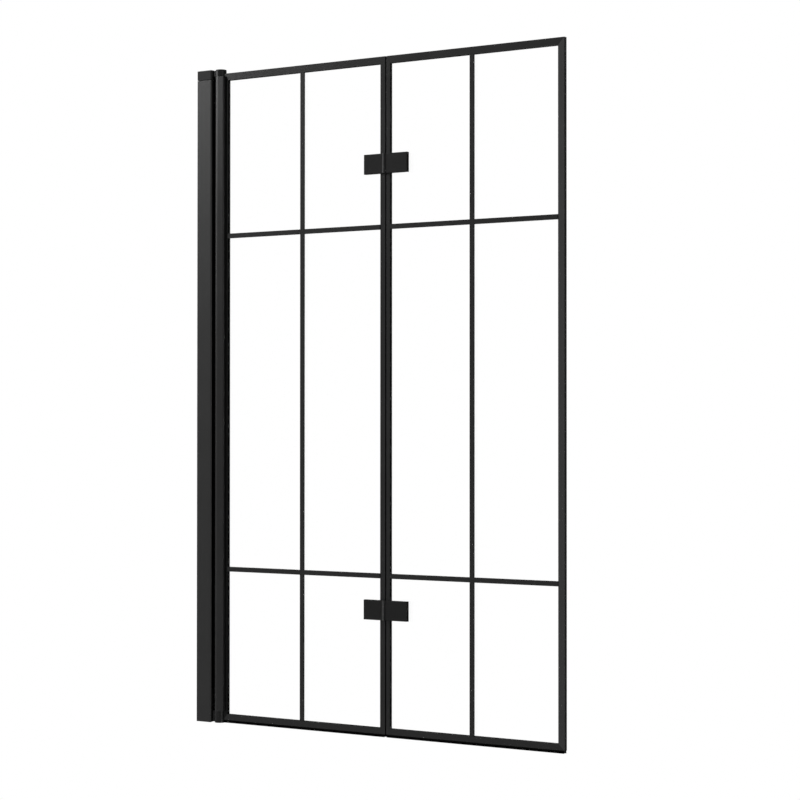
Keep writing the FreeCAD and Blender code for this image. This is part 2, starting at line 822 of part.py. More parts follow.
def hinge_leaf(leaf, z):
    """A block over the glass and the stile's edge, with its knuckles and two blind screw holes."""
    half = hinge_height / 2
    x0, x1 = sorted((leaf.near, leaf.far))
    back = -(half_glass + pad_thickness)
    solid = box(x0, x1, leaf_front, back, z - half, z + half)
    front_edges = [e for e in solid.Edges if abs(e.CenterOfMass.y - leaf_front) < leaf_edge_radius / 2]
    solid = solid.makeFillet(leaf_edge_radius, front_edges)
    s0, s1 = sorted((leaf.near, leaf.stile))
    solid = solid.cut(box(s0, s1, -(half_frame + leaf_stile_clearance), back, z - half, z + half))
    for low, high in knuckle_spans(z, -leaf.side):
        clear = knuckle_clearance
        solid = solid.cut(barrel(knuckle_radius + clear, low - clear, high + clear))
    bore = hinge_pin_radius + tight_clearance if leaf.side < 0 else knuckle_bush_radius + tight_clearance
    for low, high in knuckle_spans(z, leaf.side):
        solid = solid.fuse(barrel(knuckle_radius, low, high))
    for low, high in knuckle_spans(z, leaf.side):
        solid = solid.cut(barrel(bore, low, high))
    depth = back - leaf_front - clamp_screw_end_gap + clamp_thread_relief
    for height in clamp_heights(z):
        start = vec(leaf.screw_x, back, height)
        solid = solid.cut(rod(clamp_screw_radius + screw_clearance, start, Y_AXIS * -1, depth))
    return solid.removeSplitter()


def hinge_pin(z):
    half = hinge_height / 2 - hinge_pin_end_setback
    return barrel(hinge_pin_radius, z - half, z + half)


def hinge_knuckle_bushes():
    bushes = []
    for z in hinge_heights:
        for low, high in knuckle_spans(z, 1):
            sleeve = barrel(knuckle_bush_radius, low, high)
            bushes.append(sleeve.cut(barrel(hinge_pin_radius + running_clearance, low, high)))
    return bushes


def countersunk(x, z, grow):
    """The shape of a countersunk screw from its rear face, or of its hole when grown by a clearance."""
    rear = half_glass + pad_thickness + back_plate_thickness
    tip = leaf_front + clamp_screw_end_gap
    radius = clamp_screw_radius + grow
    head_radius = clamp_screw_head_radius + grow
    shank = rod(radius, vec(x, tip, z), Y_AXIS, rear - tip)
    cone_start = vec(x, rear - clamp_screw_head_height, z)
    cone = Part.makeCone(radius, head_radius, clamp_screw_head_height, cone_start, Y_AXIS)
    return shank.fuse(cone)


def hex_socket(x, z):
    """A hexagonal driver socket in a clamp screw's head."""
    rear = half_glass + pad_thickness + back_plate_thickness
    turn = math.pi / 3
    r = clamp_socket_radius
    corners = [(x + r * math.cos(i * turn), z + r * math.sin(i * turn), 0) for i in range(6)]
    return prism(corners, lambda p: vec(p.x, rear - clamp_socket_depth, p.y), Y_AXIS * clamp_socket_depth)


def hinge_screws(leaf):
    return [countersunk(x, z, 0).cut(hex_socket(x, z)) for x, z in clamp_points(leaf)]


def clamp_sheet(leaf, z, y0, y1):
    """A flat piece with the back plate's outline."""
    x0, x1 = sorted((leaf.plate_near, leaf.plate_far))
    half = back_plate_height / 2
    return box(x0, x1, y0, y1, z - half, z + half)


def hinge_back_plates(leaf):
    plates = []
    inside = half_glass + pad_thickness
    for z in hinge_heights:
        plate = clamp_sheet(leaf, z, inside, inside + back_plate_thickness)
        rear = inside + back_plate_thickness
        edges = [e for e in plate.Edges if abs(e.CenterOfMass.y - rear) < leaf_edge_radius / 2]
        plate = plate.makeFillet(leaf_edge_radius, edges)
        for height in clamp_heights(z):
            plate = plate.cut(countersunk(leaf.screw_x, height, screw_clearance))
        plates.append(plate)
    return plates


def hinge_pads(leaf):
    """Thin pads either side of the glass, under each front leaf and each back plate."""
    pads = []
    for z in hinge_heights:
        for y in (-(half_glass + pad_thickness), half_glass):
            pad = clamp_sheet(leaf, z, y, y + pad_thickness)
            for height in clamp_heights(z):
                start = vec(leaf.screw_x, y, height)
                pad = pad.cut(rod(clamp_screw_radius + clamp_bush_clearance, start, Y_AXIS, pad_thickness))
            pads.append(pad)
    return pads


def hinge_bushes(leaf):
    """Sleeves that keep each clamp screw off the glass."""
    bushes = []
    for x, z in clamp_points(leaf):
        start = vec(x, -half_glass, z)
        sleeve = rod(clamp_bush_radius, start, Y_AXIS, glass_thickness)
        bushes.append(sleeve.cut(rod(clamp_screw_radius + screw_clearance, start, Y_AXIS, glass_thickness)))
    return bushes


def panel_nodes(name, panel, leaf, left_name, right_name):
    """Every piece that both panels have, by node name."""
    members = frame_members(panel)
    upright = vertical_bar(panel)
    nodes = {
        f"{name}_glass": [glass_pane(panel, leaf)],
        f"{name}_top_rail": [members["top"]],
        f"{name}_bottom_rail": [members["bottom"]],
        f"{name}_{left_name}": [members["left"]],
        f"{name}_{right_name}": [members["right"]],
        f"{name}_corner_cleats": corner_cleats(panel),
        f"{name}_glazing_gasket": [glazing_gasket(panel)],
        f"{name}_vertical_bar": [upright],
        f"{name}_cross_bars": cross_bars(panel, upright),
        f"{name}_bar_tape": bar_tapes(panel),
        f"{name}_bottom_seal": [bottom_seal(panel)],
        f"{name}_hinge_back_plates": hinge_back_plates(leaf),
        f"{name}_hinge_pads": hinge_pads(leaf),
        f"{name}_hinge_bushes": hinge_bushes(leaf),
        f"{name}_hinge_screws": hinge_screws(leaf),
    }
    for level, z in zip(("upper", "lower"), hinge_heights):
        nodes[f"{level}_hinge_{name}_leaf"] = [hinge_leaf(leaf, z)]
    return nodes


def all_nodes():
    nodes = {
        "wall_channel": [wall_channel()],
        "wall_channel_top_cap": [wall_channel_top_cap()],
        "wall_channel_foot_plug": [wall_channel_foot_plug()],
        "adjusting_profile": [adjusting_profile()],
        "adjusting_screws": adjusting_screws(),
        "adjusting_screw_covers": adjusting_screw_covers(),
        "top_pivot_bracket": [top_pivot_bracket()],
        "bottom_pivot_bracket": [bottom_pivot_bracket()],
        "pivot_bracket_screws": pivot_bracket_screws(),
        "top_pivot_pin": [top_pivot_pin()],
        "bottom_pivot_pin": [bottom_pivot_pin()],
        "pivot_seal": [pivot_seal()],
        "pivot_profile": [pivot_profile()],
        "top_pivot_bush": [pivot_bush(post_top, -1)],
        "bottom_pivot_bush": [pivot_bush(post_bottom, 1)],
        "pivot_profile_screws": pivot_profile_screws(),
        "meeting_seal": [meeting_seal()],
        "hinge_knuckle_bushes": hinge_knuckle_bushes(),
    }
    nodes.update(panel_nodes("inner", inner_panel, inner_leaf, "pivot_stile", "meeting_stile"))
    nodes.update(panel_nodes("outer", outer_panel, outer_leaf, "meeting_stile", "closing_stile"))
    nodes["inner_pivot_stile"] = [pivot_stile(nodes["inner_pivot_stile"][0])]
    for level, z in zip(("upper", "lower"), hinge_heights):
        nodes[f"{level}_hinge_pin"] = [hinge_pin(z)]
    return nodes


def write_nodes(nodes):
    os.makedirs("parts", exist_ok=True)
    for name, shapes in nodes.items():
        solids = [solid for shape in shapes for solid in shape.Solids]
        sound = all(solid.isValid() for solid in solids)
        volume = sum(solid.Volume for solid in solids)
        print(f"{name}: {len(solids)} solids, {volume:.0f} mm3, {'sound' if sound else 'BROKEN'}")
        shape = solids[0] if len(solids) == 1 else Part.makeCompound(solids)
        shape.exportStep(f"parts/{name}.step")


write_nodes(all_nodes())
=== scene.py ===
# %% [markdown]
# # A folding bath screen
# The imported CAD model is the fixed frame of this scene: two glazed panels on a wall channel.
# The scene could be modelled again from nothing, but then it would drift away from the CAD model.
# So the rigid parts stay as they are and only get finishes, and the soft rubber parts are modelled anew.

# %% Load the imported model
import json
import math

import bmesh
import bpy
from mathutils import Matrix, Vector


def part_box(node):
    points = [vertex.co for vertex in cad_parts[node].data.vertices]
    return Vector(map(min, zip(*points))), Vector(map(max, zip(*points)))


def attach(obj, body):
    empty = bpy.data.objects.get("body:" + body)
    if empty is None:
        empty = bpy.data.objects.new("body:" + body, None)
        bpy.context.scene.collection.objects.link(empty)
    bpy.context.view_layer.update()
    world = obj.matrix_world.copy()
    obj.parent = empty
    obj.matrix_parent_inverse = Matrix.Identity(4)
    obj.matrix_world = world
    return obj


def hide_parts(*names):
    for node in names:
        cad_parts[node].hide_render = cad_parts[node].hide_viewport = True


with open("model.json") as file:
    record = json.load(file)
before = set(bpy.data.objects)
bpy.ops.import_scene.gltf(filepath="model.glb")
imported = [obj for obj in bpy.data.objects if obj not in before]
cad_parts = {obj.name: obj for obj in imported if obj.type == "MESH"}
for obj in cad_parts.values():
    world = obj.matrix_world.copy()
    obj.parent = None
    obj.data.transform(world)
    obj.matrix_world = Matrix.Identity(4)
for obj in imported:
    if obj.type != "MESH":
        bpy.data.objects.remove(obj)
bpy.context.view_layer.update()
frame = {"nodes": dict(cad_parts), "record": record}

# %% [markdown]
# ## Camera
# The photograph was taken from the right of the screen, a little below its middle, with a long lens.
# Its place could be judged by eye, but a fit to the edges of the channel, rails and hinges is more exact.
# The turn, tilt and roll are kept as three rotations, so each one can be read and changed by itself.

# %% Camera at the photograph's viewing angle
camera_data = bpy.data.cameras.new("studio_camera")
camera_data.sensor_width = 36.0
camera_data.lens = 100.34
camera_data.clip_end = 60.0
camera = bpy.data.objects.new("studio_camera", camera_data)
bpy.context.scene.collection.objects.link(camera)
camera_place = Vector((3.0072, -3.7866, -0.0662))
turn = Matrix.Rotation(math.radians(33.344), 4, "Z")
tilt = Matrix.Rotation(math.radians(90.681), 4, "X")
roll = Matrix.Rotation(math.radians(0.023), 4, "Z")
camera.matrix_world = Matrix.Translation(camera_place) @ turn @ tilt @ roll
bpy.context.scene.camera = camera
print("camera stands", round(camera_place.length, 2), "m from the middle of the wall side")

# %% [markdown]
# ## Shader sums
# A finish is easier to read as a sum, such as 1 - mask * 0.4, than as a chain of nodes.
# Groups could hide the chain, but the export bakes plain nodes best.
# So one small class wraps a socket: sums of sockets add Math nodes, and node() adds every other kind.


# %% A socket that can be used in sums
class Wire:
    """One socket of a node tree."""

    def __init__(self, tree, socket=None):
        self.tree = tree
        self.socket = socket

    def node(self, kind, sockets=None, output=0, **settings):
        """Add a node: its settings first, then the values or links of its sockets."""
        made = self.tree.nodes.new("ShaderNode" + kind)
        for name, value in settings.items():
            setattr(made, name, value)
        for key, value in (sockets or {}).items():
            if isinstance(value, Wire):
                self.tree.links.new(value.socket, made.inputs[key])
            else:
                made.inputs[key].default_value = value
        return Wire(self.tree, made.outputs[output]) if made.outputs else None

    def math(self, operation, first, second):
        """Add a Math node."""
        return self.node("Math", {0: first, 1: second}, operation=operation)

    def __add__(self, other):
        return self.math("ADD", self, other)

    def __sub__(self, other):
        return self.math("SUBTRACT", self, other)

    def __rsub__(self, other):
        return self.math("SUBTRACT", other, self)

    def __mul__(self, other):
        return self.math("MULTIPLY", self, other)

    __radd__ = __add__
    __rmul__ = __mul__


def larger(first, second):
    """The larger of two values."""
    return first.math("MAXIMUM", first, second)


def blend_colours(share, first, second):
    """A colour between two colours."""
    return share.node("Mix", {0: share, 6: first, 7: second}, output=2, data_type="RGBA")


print("sums on sockets are ready")

# %% [markdown]
# ## Studio
# The photograph is a cut-out on white: the screen is lit softly from above on the left.
# Its background could be a wall behind the screen, but a wall would take the light from the rear.
# So the world is white to the camera, to mirrors and through glass, and a plain grey light to all else.

# %% White world
AMBIENT = 0.3
world = bpy.data.worlds.new("studio_world")
bpy.context.scene.world = world
world.use_nodes = True
world.node_tree.nodes.clear()
sky = Wire(world.node_tree)


def seen_directly(tree):
    """1 for rays that show a thing itself: from the camera, from a mirror or through glass."""
    camera_ray = tree.node("LightPath", output="Is Camera Ray")
    mirror_ray = tree.node("LightPath", output="Is Glossy Ray")
    glass_ray = tree.node("LightPath", output="Is Transmission Ray")
    return larger(larger(camera_ray, mirror_ray), glass_ray)


seen = seen_directly(sky)
backdrop = sky.node("Background", {"Color": (1, 1, 1, 1), "Strength": seen + (1 - seen) * AMBIENT})
sky.node("OutputWorld", {"Surface": backdrop})
bpy.context.scene.view_settings.view_transform = "Standard"
print("world is white, and", AMBIENT, "to matt surfaces")


# %% Softboxes
def softbox(name, place, target, width, height, watts):
    """A rectangular lamp that faces a point."""
    data = bpy.data.lights.new(name, "AREA")
    data.shape = "RECTANGLE"
    data.size = width
    data.size_y = height
    data.energy = watts
    lamp = bpy.data.objects.new(name, data)
    bpy.context.scene.collection.objects.link(lamp)
    aim = Vector(target) - Vector(place)
    lamp.matrix_world = Matrix.Translation(place) @ aim.to_track_quat("-Z", "Y").to_matrix().to_4x4()
    lamp.visible_camera = False


middle = Vector((0.45, 0.0, 0.0))
softbox("key_softbox", (-2.8, -2.1, 1.9), (0.0, 0.0, 0.4), width=1.9, height=1.8, watts=100.0)
softbox("edge_softbox", (3.2, -1.3, -0.1), middle, width=0.5, height=2.2, watts=24.0)
softbox("left_softbox", (-2.6, -0.5, 1.1), middle, width=0.8, height=1.6, watts=10.0)
softbox("rear_softbox", (0.3, 3.2, 2.2), middle, width=2.4, height=1.6, watts=120.0)

# %% [markdown]
# ## Black cards and floor
# In the photograph the right sides of the frame are black, and a satin side is black if it mirrors black.
# A studio could be painted black for that, but a photographer just stands black cards beside such a thing.
# Here three cards show only in mirrors, with soft edges so that the glass shows no hard line.
# A pale floor fades into the white world, so that it has no rim.


# %% Sheets for the stage
def stage_sheet(name, shape, finish):
    """A mesh object of the studio, which isn't part of the screen."""
    mesh = bpy.data.meshes.new(name)
    shape.to_mesh(mesh)
    shape.free()
    mesh.materials.append(finish)
    sheet = bpy.data.objects.new(name, mesh)
    bpy.context.scene.collection.objects.link(sheet)
    return sheet


def new_finish(name):
    """An empty material, and a wire into its tree."""
    finish = bpy.data.materials.new(name)
    finish.use_nodes = True
    finish.node_tree.nodes.clear()
    return finish, Wire(finish.node_tree)


def smooth_step(value, start, end):
    """0 up to the start, 1 from the end, and a smooth ramp between."""
    limits = {"Value": value, "From Min": start, "From Max": end}
    return value.node("MapRange", limits, interpolation_type="SMOOTHSTEP")


print("sheets of the stage are ready")


# %% A card that shows only in mirrors
def black_card(name, shape, cover):
    """A card that shows only in mirrors, and there only as far as a function of its tree covers."""
    finish, tree = new_finish(name)
    clear = tree.node("BsdfTransparent", {"Color": (1, 1, 1, 1)})
    black = tree.node("BsdfDiffuse", {"Color": (0.001, 0.001, 0.001, 1)})
    mirrored = tree.node("LightPath", output="Glossy Depth")
    share = mirrored.math("MINIMUM", mirrored, 1.0) * cover(tree)
    shown = tree.node("MixShader", {0: share, 1: clear, 2: black})
    tree.node("OutputMaterial", {"Surface": shown})
    card = stage_sheet(name, shape, finish)
    card.visible_camera = False
    card.visible_shadow = False


print("black cards are ready")

# %% Upright black cards
SOFT_EDGE = 0.3
CARD_FOOT = -1.25


def standing_card(name, aim, away, width, top):
    """An upright card, so far away from the screen's middle in a level direction."""
    shape = bmesh.new()
    bmesh.ops.create_grid(shape, x_segments=1, y_segments=1, size=0.5)
    bmesh.ops.scale(shape, vec=(width + SOFT_EDGE, top - CARD_FOOT, 1.0), verts=shape.verts)
    upright = aim.to_track_quat("Z", "Y").to_matrix().to_4x4()
    stand = middle + aim * away + Vector((0.0, 0.0, (CARD_FOOT + top) / 2))
    bmesh.ops.transform(shape, matrix=Matrix.Translation(stand) @ upright, verts=shape.verts)
    along = aim.cross(Vector((0.0, 0.0, 1.0)))

    def cover(tree):
        """1 on the card, with a ramp at its foot and at both sides."""
        place = tree.node("TexCoord", output="Object")
        height = place.node("SeparateXYZ", {0: place}, output="Z")
        run = place.node("VectorMath", {0: place, 1: along}, output="Value", operation="DOT_PRODUCT")
        sideways = run - stand.dot(along)
        distance = sideways.math("ABSOLUTE", sideways, 0.0)
        beside = smooth_step(distance, (width - SOFT_EDGE) / 2, (width + SOFT_EDGE) / 2)
        return smooth_step(height, CARD_FOOT, CARD_FOOT + SOFT_EDGE) * (1 - beside)

    black_card(name, shape, cover)


standing_card("right_card", Vector((0.552, 0.834, 0.0)), away=1.4, width=2.8, top=1.7)
standing_card("left_card", Vector((-0.75, 0.66, 0.0)), away=1.7, width=1.7, top=0.9)
print("upright cards have soft edges of", SOFT_EDGE, "m")

# %% Low black card
FLOOR_LEVEL = -1.28
FLOOR_RADIUS = 1.9
CARD_LIFT = 0.01
BLACK_RADIUS = 0.6
CLEAR_RADIUS = 1.8


def disc():
    """A round sheet as wide as the floor."""
    shape = bmesh.new()
    bmesh.ops.create_circle(shape, cap_ends=True, segments=96, radius=FLOOR_RADIUS)
    return shape


def round_cover(tree):
    """1 under the screen, with a wide ramp outwards."""
    place = tree.node("TexCoord", output="Object")
    centre = (middle.x, middle.y, FLOOR_LEVEL)
    reach = place.node("VectorMath", {0: place, 1: centre}, output="Value", operation="DISTANCE")
    return 1 - smooth_step(reach, BLACK_RADIUS, CLEAR_RADIUS)


low_card = disc()
bmesh.ops.translate(low_card, vec=(middle.x, middle.y, FLOOR_LEVEL + CARD_LIFT), verts=low_card.verts)
black_card("floor_card", low_card, round_cover)
print("low card is black to", BLACK_RADIUS, "m and clear from", CLEAR_RADIUS, "m")

# %% Pale floor
FADE_START = 1.35
FADE_END = 1.75
floor_finish, tree = new_finish("pale_floor")
place = tree.node("TexCoord", output="Object")
reach = place.node("VectorMath", {0: place}, output="Value", operation="LENGTH")
fade = smooth_step(reach, FADE_START, FADE_END)
grain = place.node("TexNoise", {"Vector": place, "Scale": 60.0, "Detail": 4.0})
paint = blend_colours(grain, (0.80, 0.80, 0.79, 1), (0.86, 0.86, 0.85, 1))
matt = tree.node("BsdfDiffuse", {"Color": paint})
white = tree.node("Emission", {"Color": (1, 1, 1, 1), "Strength": 1.0})
faded = tree.node("MixShader", {0: fade * seen_directly(tree), 1: matt, 2: white})
tree.node("OutputMaterial", {"Surface": faded})
floor = stage_sheet("pale_floor", disc(), floor_finish)
floor.location = (middle.x, middle.y, FLOOR_LEVEL)
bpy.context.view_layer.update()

# %% [markdown]
# ## Black powder coat
# The channel, the post, the panel frames and the bars are aluminium with a baked black powder.
# Up close such a coat has a fine orange peel and a faint mottle.
# An image could show that, but noise in object space has the true scale on every part.
# A painted highlight runs along the hinge's barrel, which is found by how far it stands out from the leaves.
# The powder is the same all over, but each coat has the tone that the photograph's light gives its part, so
# these tones are painted light and shade.

# %% Powder coat
MM = 0.001
MOTTLING = 0.25
GRIT_SHARE = 0.3
PATCHY = 0.12
GRAINY = 0.10
BARREL_FOOT = 2.0 * MM
BARREL_CREST = 3.4 * MM
DULLED = 0.12


def principled(tree, sockets):
    """End a tree in one Principled shader."""
    shader = tree.node("BsdfPrincipled", sockets)
    tree.node("OutputMaterial", {"Surface": shader})


def grey(level):
    """A colour without a hue."""
    return (level, level, level, 1)


def sway(noise, width):
    """Noise, which runs from 0 to 1, as a change to either side."""
    return (noise - 0.5) * width


# The colour of the painted highlight along a hinge's barrel.
BARREL_HIGHLIGHT = grey(0.047)


def powder_coat(name, tone, gloss, roughness, leaf_front=None):
    """Black powder, with a painted highlight on what stands out in front of a hinge leaf, if there is one."""
    finish, tree = new_finish(name)
    place = tree.node("TexCoord", output="Object")
    mottle = tree.node("TexNoise", {"Vector": place, "Scale": 11.0, "Detail": 3.0})
    peel = tree.node("TexNoise", {"Vector": place, "Scale": 420.0, "Detail": 2.0})
    grit = tree.node("TexNoise", {"Vector": place, "Scale": 1900.0, "Detail": 1.0})
    patches = mottle * (1 - GRIT_SHARE) + grit * GRIT_SHARE
    colour = blend_colours(patches, grey(tone * (1 - MOTTLING)), grey(tone * (1 + MOTTLING)))
    satin = roughness + sway(mottle, PATCHY) + sway(grit, GRAINY)
    # Painted highlight: the barrel's crown is lighter in colour, and its roughness is raised there too.
    if leaf_front is not None:
        depth = place.node("SeparateXYZ", {0: place}, output="Y")
        barrel = smooth_step(leaf_front - depth, BARREL_FOOT, BARREL_CREST)
        colour = blend_colours(barrel, colour, BARREL_HIGHLIGHT)
        satin = satin + barrel * DULLED
    height = peel * (1 - GRIT_SHARE) + grit * GRIT_SHARE
    bump = tree.node("Bump", {"Height": height, "Strength": 0.18, "Distance": 0.0004})
    principled(tree, {
        "Base Color": colour,
        "Roughness": satin,
        "Specular IOR Level": gloss,
        "Normal": bump,
    })
    return finish


# The painted highlight on a hinge's barrel starts this far in front of its leaf.
print("a hinge's coat is rubbed from", round(BARREL_FOOT / MM, 1), "mm in front of its leaf")

# %% One coat for each kind of part: lit and shaded copies of one powder
LEAF_FRONT = -12.0 * MM
channel_coat = powder_coat("channel_coat", tone=0.014, gloss=0.20, roughness=0.34)
post_coat = powder_coat("post_coat", tone=0.012, gloss=0.14, roughness=0.26)
frame_coat = powder_coat("frame_coat", tone=0.014, gloss=0.14, roughness=0.25)
# Painted shadow: the pivot stile's coat is darker and duller where the post's shadow falls on the stile.
painted_shadow_coat = powder_coat("painted_shadow_coat", tone=0.006, gloss=0.06, roughness=0.28)
# Painted light: the closing stile's coat is lighter and glossier than the frame's, though it is the same
# powder.
closing_coat = powder_coat("closing_coat", tone=0.018, gloss=0.28, roughness=0.30)
# Painted shade: the hinge's coat is darker than the frame's, though it is the same powder.
hinge_coat = powder_coat("hinge_coat", tone=0.0095, gloss=0.11, roughness=0.26, leaf_front=LEAF_FRONT)
print("coats:", [m.name for m in bpy.data.materials if m.name.endswith("_coat")])

# %% [markdown]
# ## Glass, plastic, rubber and metal
# The panes are clear safety glass, whose cut edges look green because light runs along the sheet.
# The edge tint could be an absorbing volume, but the export drops that, so the edge faces are tinted instead.
# Moulded caps have a spark-etched grain.
# Rubber and bare metal have fine lines along the way they were drawn.

# %% Clear glass
SMEAR = 0.02


def clear_glass():
    """Glass that is clear where it faces front or rear, and greenish on its edges."""
    finish, tree = new_finish("clear_safety_glass")
    place = tree.node("TexCoord", output="Object")
    facing = tree.node("TexCoord", output="Normal")
    sides = facing.node("SeparateXYZ", {0: facing}, output="Y")
    broad = sides.math("ABSOLUTE", sides, 0.0)
    tint = blend_colours(broad, (0.62, 0.86, 0.78, 1), (1.0, 1.0, 1.0, 1))
    smear = tree.node("TexNoise", {"Vector": place, "Scale": 5.0, "Detail": 4.0})
    principled(tree, {
        "Base Color": tint,
        "Roughness": smear * SMEAR,
        "IOR": 1.32,
        "Transmission Weight": 1.0,
    })
    return finish


pane_glass = clear_glass()
print("glass:", pane_glass.name)

# %% Moulded plastic, tape and nylon
CLOUDY = 0.1


def moulded(name, deep, light, gloss, roughness, grain_scale):
    """Plastic with an etched grain and a slight cloud in its colour."""
    finish, tree = new_finish(name)
    place = tree.node("TexCoord", output="Object")
    etched = tree.node("TexVoronoi", {"Vector": place, "Scale": grain_scale})
    cloud = tree.node("TexNoise", {"Vector": place, "Scale": 35.0, "Detail": 3.0})
    bump = tree.node("Bump", {"Height": etched, "Strength": 0.2, "Distance": 0.0002})
    principled(tree, {
        "Base Color": blend_colours(cloud, deep, light),
        "Roughness": roughness + sway(cloud, CLOUDY),
        "Specular IOR Level": gloss,
        "Normal": bump,
    })
    return finish


cap_plastic = moulded("cap_plastic", grey(0.013), grey(0.019), gloss=0.07, roughness=0.40, grain_scale=1500.0)
bar_tape = moulded("bar_tape", grey(0.010), grey(0.016), gloss=0.2, roughness=0.6, grain_scale=900.0)
bush_nylon = moulded("bush_nylon", grey(0.020), grey(0.028), gloss=0.4, roughness=0.4, grain_scale=700.0)
print("plastics:", [finish.name for finish in (cap_plastic, bar_tape, bush_nylon)])

# %% Drawn rubber
FINE = 2600.0
LONG = 8.0
LINED = 0.2
SMOOTHEST = 0.55
ALONG_X = (LONG, FINE, FINE)
ALONG_Z = (FINE, FINE, LONG)


def drawn_rubber(name, stretch):
    """Black rubber with fine lines along the way it was drawn from its die."""
    finish, tree = new_finish(name)
    place = tree.node("TexCoord", output="Object")
    along = tree.node("Mapping", {"Vector": place, "Scale": stretch})
    lines = tree.node("TexNoise", {"Vector": along, "Scale": 1.0, "Detail": 3.0})
    bloom = tree.node("TexNoise", {"Vector": place, "Scale": 18.0, "Detail": 4.0})
    bump = tree.node("Bump", {"Height": lines, "Strength": 0.25, "Distance": 0.0002})
    principled(tree, {
        "Base Color": blend_colours(bloom, grey(0.0008), grey(0.0026)),
        "Roughness": SMOOTHEST + lines * LINED,
        "Specular IOR Level": 0.005,
        "Normal": bump,
    })
    return finish


upright_rubber = drawn_rubber("upright_rubber", ALONG_Z)
level_rubber = drawn_rubber("level_rubber", ALONG_X)
print("rubbers:", upright_rubber.name, level_rubber.name)

# %% Bright metal
BRUSHED = 0.15


def bright_metal(name, dark, light, roughness):
    """Bare metal with drawn lines."""
    finish, tree = new_finish(name)
    place = tree.node("TexCoord", output="Object")
    along = tree.node("Mapping", {"Vector": place, "Scale": ALONG_X})
    lines = tree.node("TexNoise", {"Vector": along, "Scale": 1.0, "Detail": 2.0})
    bump = tree.node("Bump", {"Height": lines, "Strength": 0.15, "Distance": 0.0001})
    principled(tree, {
        "Base Color": blend_colours(lines, dark, light),
        "Metallic": 1.0,
        "Roughness": roughness + sway(lines, BRUSHED),
        "Normal": bump,
    })
    return finish


steel = bright_metal("fixing_steel", (0.36, 0.36, 0.37, 1), (0.50, 0.50, 0.51, 1), roughness=0.32)
aluminium = bright_metal("cleat_aluminium", (0.60, 0.61, 0.62, 1), (0.72, 0.72, 0.73, 1), roughness=0.42)
print("metals:", steel.name, aluminium.name)

# %% A finish for every CAD node
finishes = {
    "frame_coat": frame_coat,
    "hinge_coat": hinge_coat,
    "cap_plastic": cap_plastic,
    "clear_glass": pane_glass,
    "seal_rubber": upright_rubber,
    "bar_tape": bar_tape,
    "bush_nylon": bush_nylon,
    "fixing_steel": steel,
    "cleat_aluminium": aluminium,
}
own_finish = {
    "wall_channel": channel_coat,
    "adjusting_profile": channel_coat,
    "pivot_profile": post_coat,
    # The pivot stile gets the coat with the post's painted shadow.
    "inner_pivot_stile": painted_shadow_coat,
    "outer_closing_stile": closing_coat,
}
for part in frame["record"]["subparts"]:
    node = frame["nodes"][part["node"]]
    for holder in node.material_slots:
        holder.material = own_finish.get(part["node"], finishes[part["material_slot"]])

# %% [markdown]
# ## Rubber seals
# Every soft part of the screen is a length of rubber drawn through a die, so each one is a profile and a run.
# A curve with a bevel object could do that too, but a few corners, rounded and extruded, stay easy to change.
# The corners are rounded first, on the flat profile, so the extrusion carries the rounding along.

# %% Draw a strip from a profile
SHARP_ANGLE = math.radians(35)


def strip(shape, profile, place, run, rounding):
    """Extrude a rounded profile of (u, v) corners in millimetres, put in place by a function of u and v."""
    before = set(shape.faces)
    corners = [shape.verts.new(place(u * MM, v * MM)) for u, v in profile]
    shape.faces.new(corners)
    bmesh.ops.bevel(
        shape, geom=corners, offset=rounding * MM, offset_type="OFFSET", affect="VERTICES",
        segments=3, profile=0.5, material=-1,
    )
    drawn = bmesh.ops.extrude_face_region(shape, geom=[f for f in shape.faces if f not in before])
    moved = [part for part in drawn["geom"] if isinstance(part, bmesh.types.BMVert)]
    bmesh.ops.translate(shape, vec=run, verts=moved)


def soft_piece(name, shape, finish, body, *nodes):
    """Make a finished object that rides on a body and stands for CAD nodes."""
    bmesh.ops.recalc_face_normals(shape, faces=shape.faces)
    mesh = bpy.data.meshes.new(name)
    shape.to_mesh(mesh)
    shape.free()
    mesh.materials.append(finish)
    mesh.shade_smooth()
    mesh.set_sharp_from_angle(angle=SHARP_ANGLE)
    made = bpy.data.objects.new(name, mesh)
    bpy.context.scene.collection.objects.link(made)
    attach(made, body)
    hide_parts(*nodes)
    print(name, "has", len(mesh.polygons), "faces")


print("edges stay sharp above", round(math.degrees(SHARP_ANGLE)), "degrees")

# %% Bottom seals
FIN_ROUNDING = 0.28
ROOT_ROUNDING = 0.1
stiles = {
    "inner": ("inner_pivot_stile", "inner_meeting_stile"),
    "outer": ("outer_meeting_stile", "outer_closing_stile"),
}
root = [
    (-1.3, 0), (-1.3, 1.15), (-2.6, 1.15), (-2.6, 2.3),
    (2.6, 2.3), (2.6, 1.15), (1.3, 1.15), (1.3, 0),
]
for side in stiles:
    low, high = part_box(f"{side}_bottom_seal")
    rail_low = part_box(f"{side}_bottom_rail")[0].z
    drop = (rail_low - low.z) / MM
    half = high.y / MM
    fins = [
        (-half, 0), (half, 0),
        (half, -1.6), (half + 0.2, -drop), (half - 0.7, -drop), (half - 1.15, -1.5),
        (-half + 1.15, -1.5), (-half + 0.7, -drop), (-half - 0.2, -drop), (-half, -1.6),
    ]
    shape = bmesh.new()
    whole = Vector((high.x - low.x, 0, 0))
    strip(shape, fins, lambda u, v: Vector((low.x, u, rail_low + v)), whole, FIN_ROUNDING)
    near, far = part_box(stiles[side][0])[1].x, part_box(stiles[side][1])[0].x
    between = Vector((far - near, 0, 0))
    strip(shape, root, lambda u, v: Vector((near, u, rail_low + v)), between, ROOT_ROUNDING)
    soft_piece(f"{side}_bottom_seal_strip", shape, level_rubber, f"{side}_panel", f"{side}_bottom_seal")

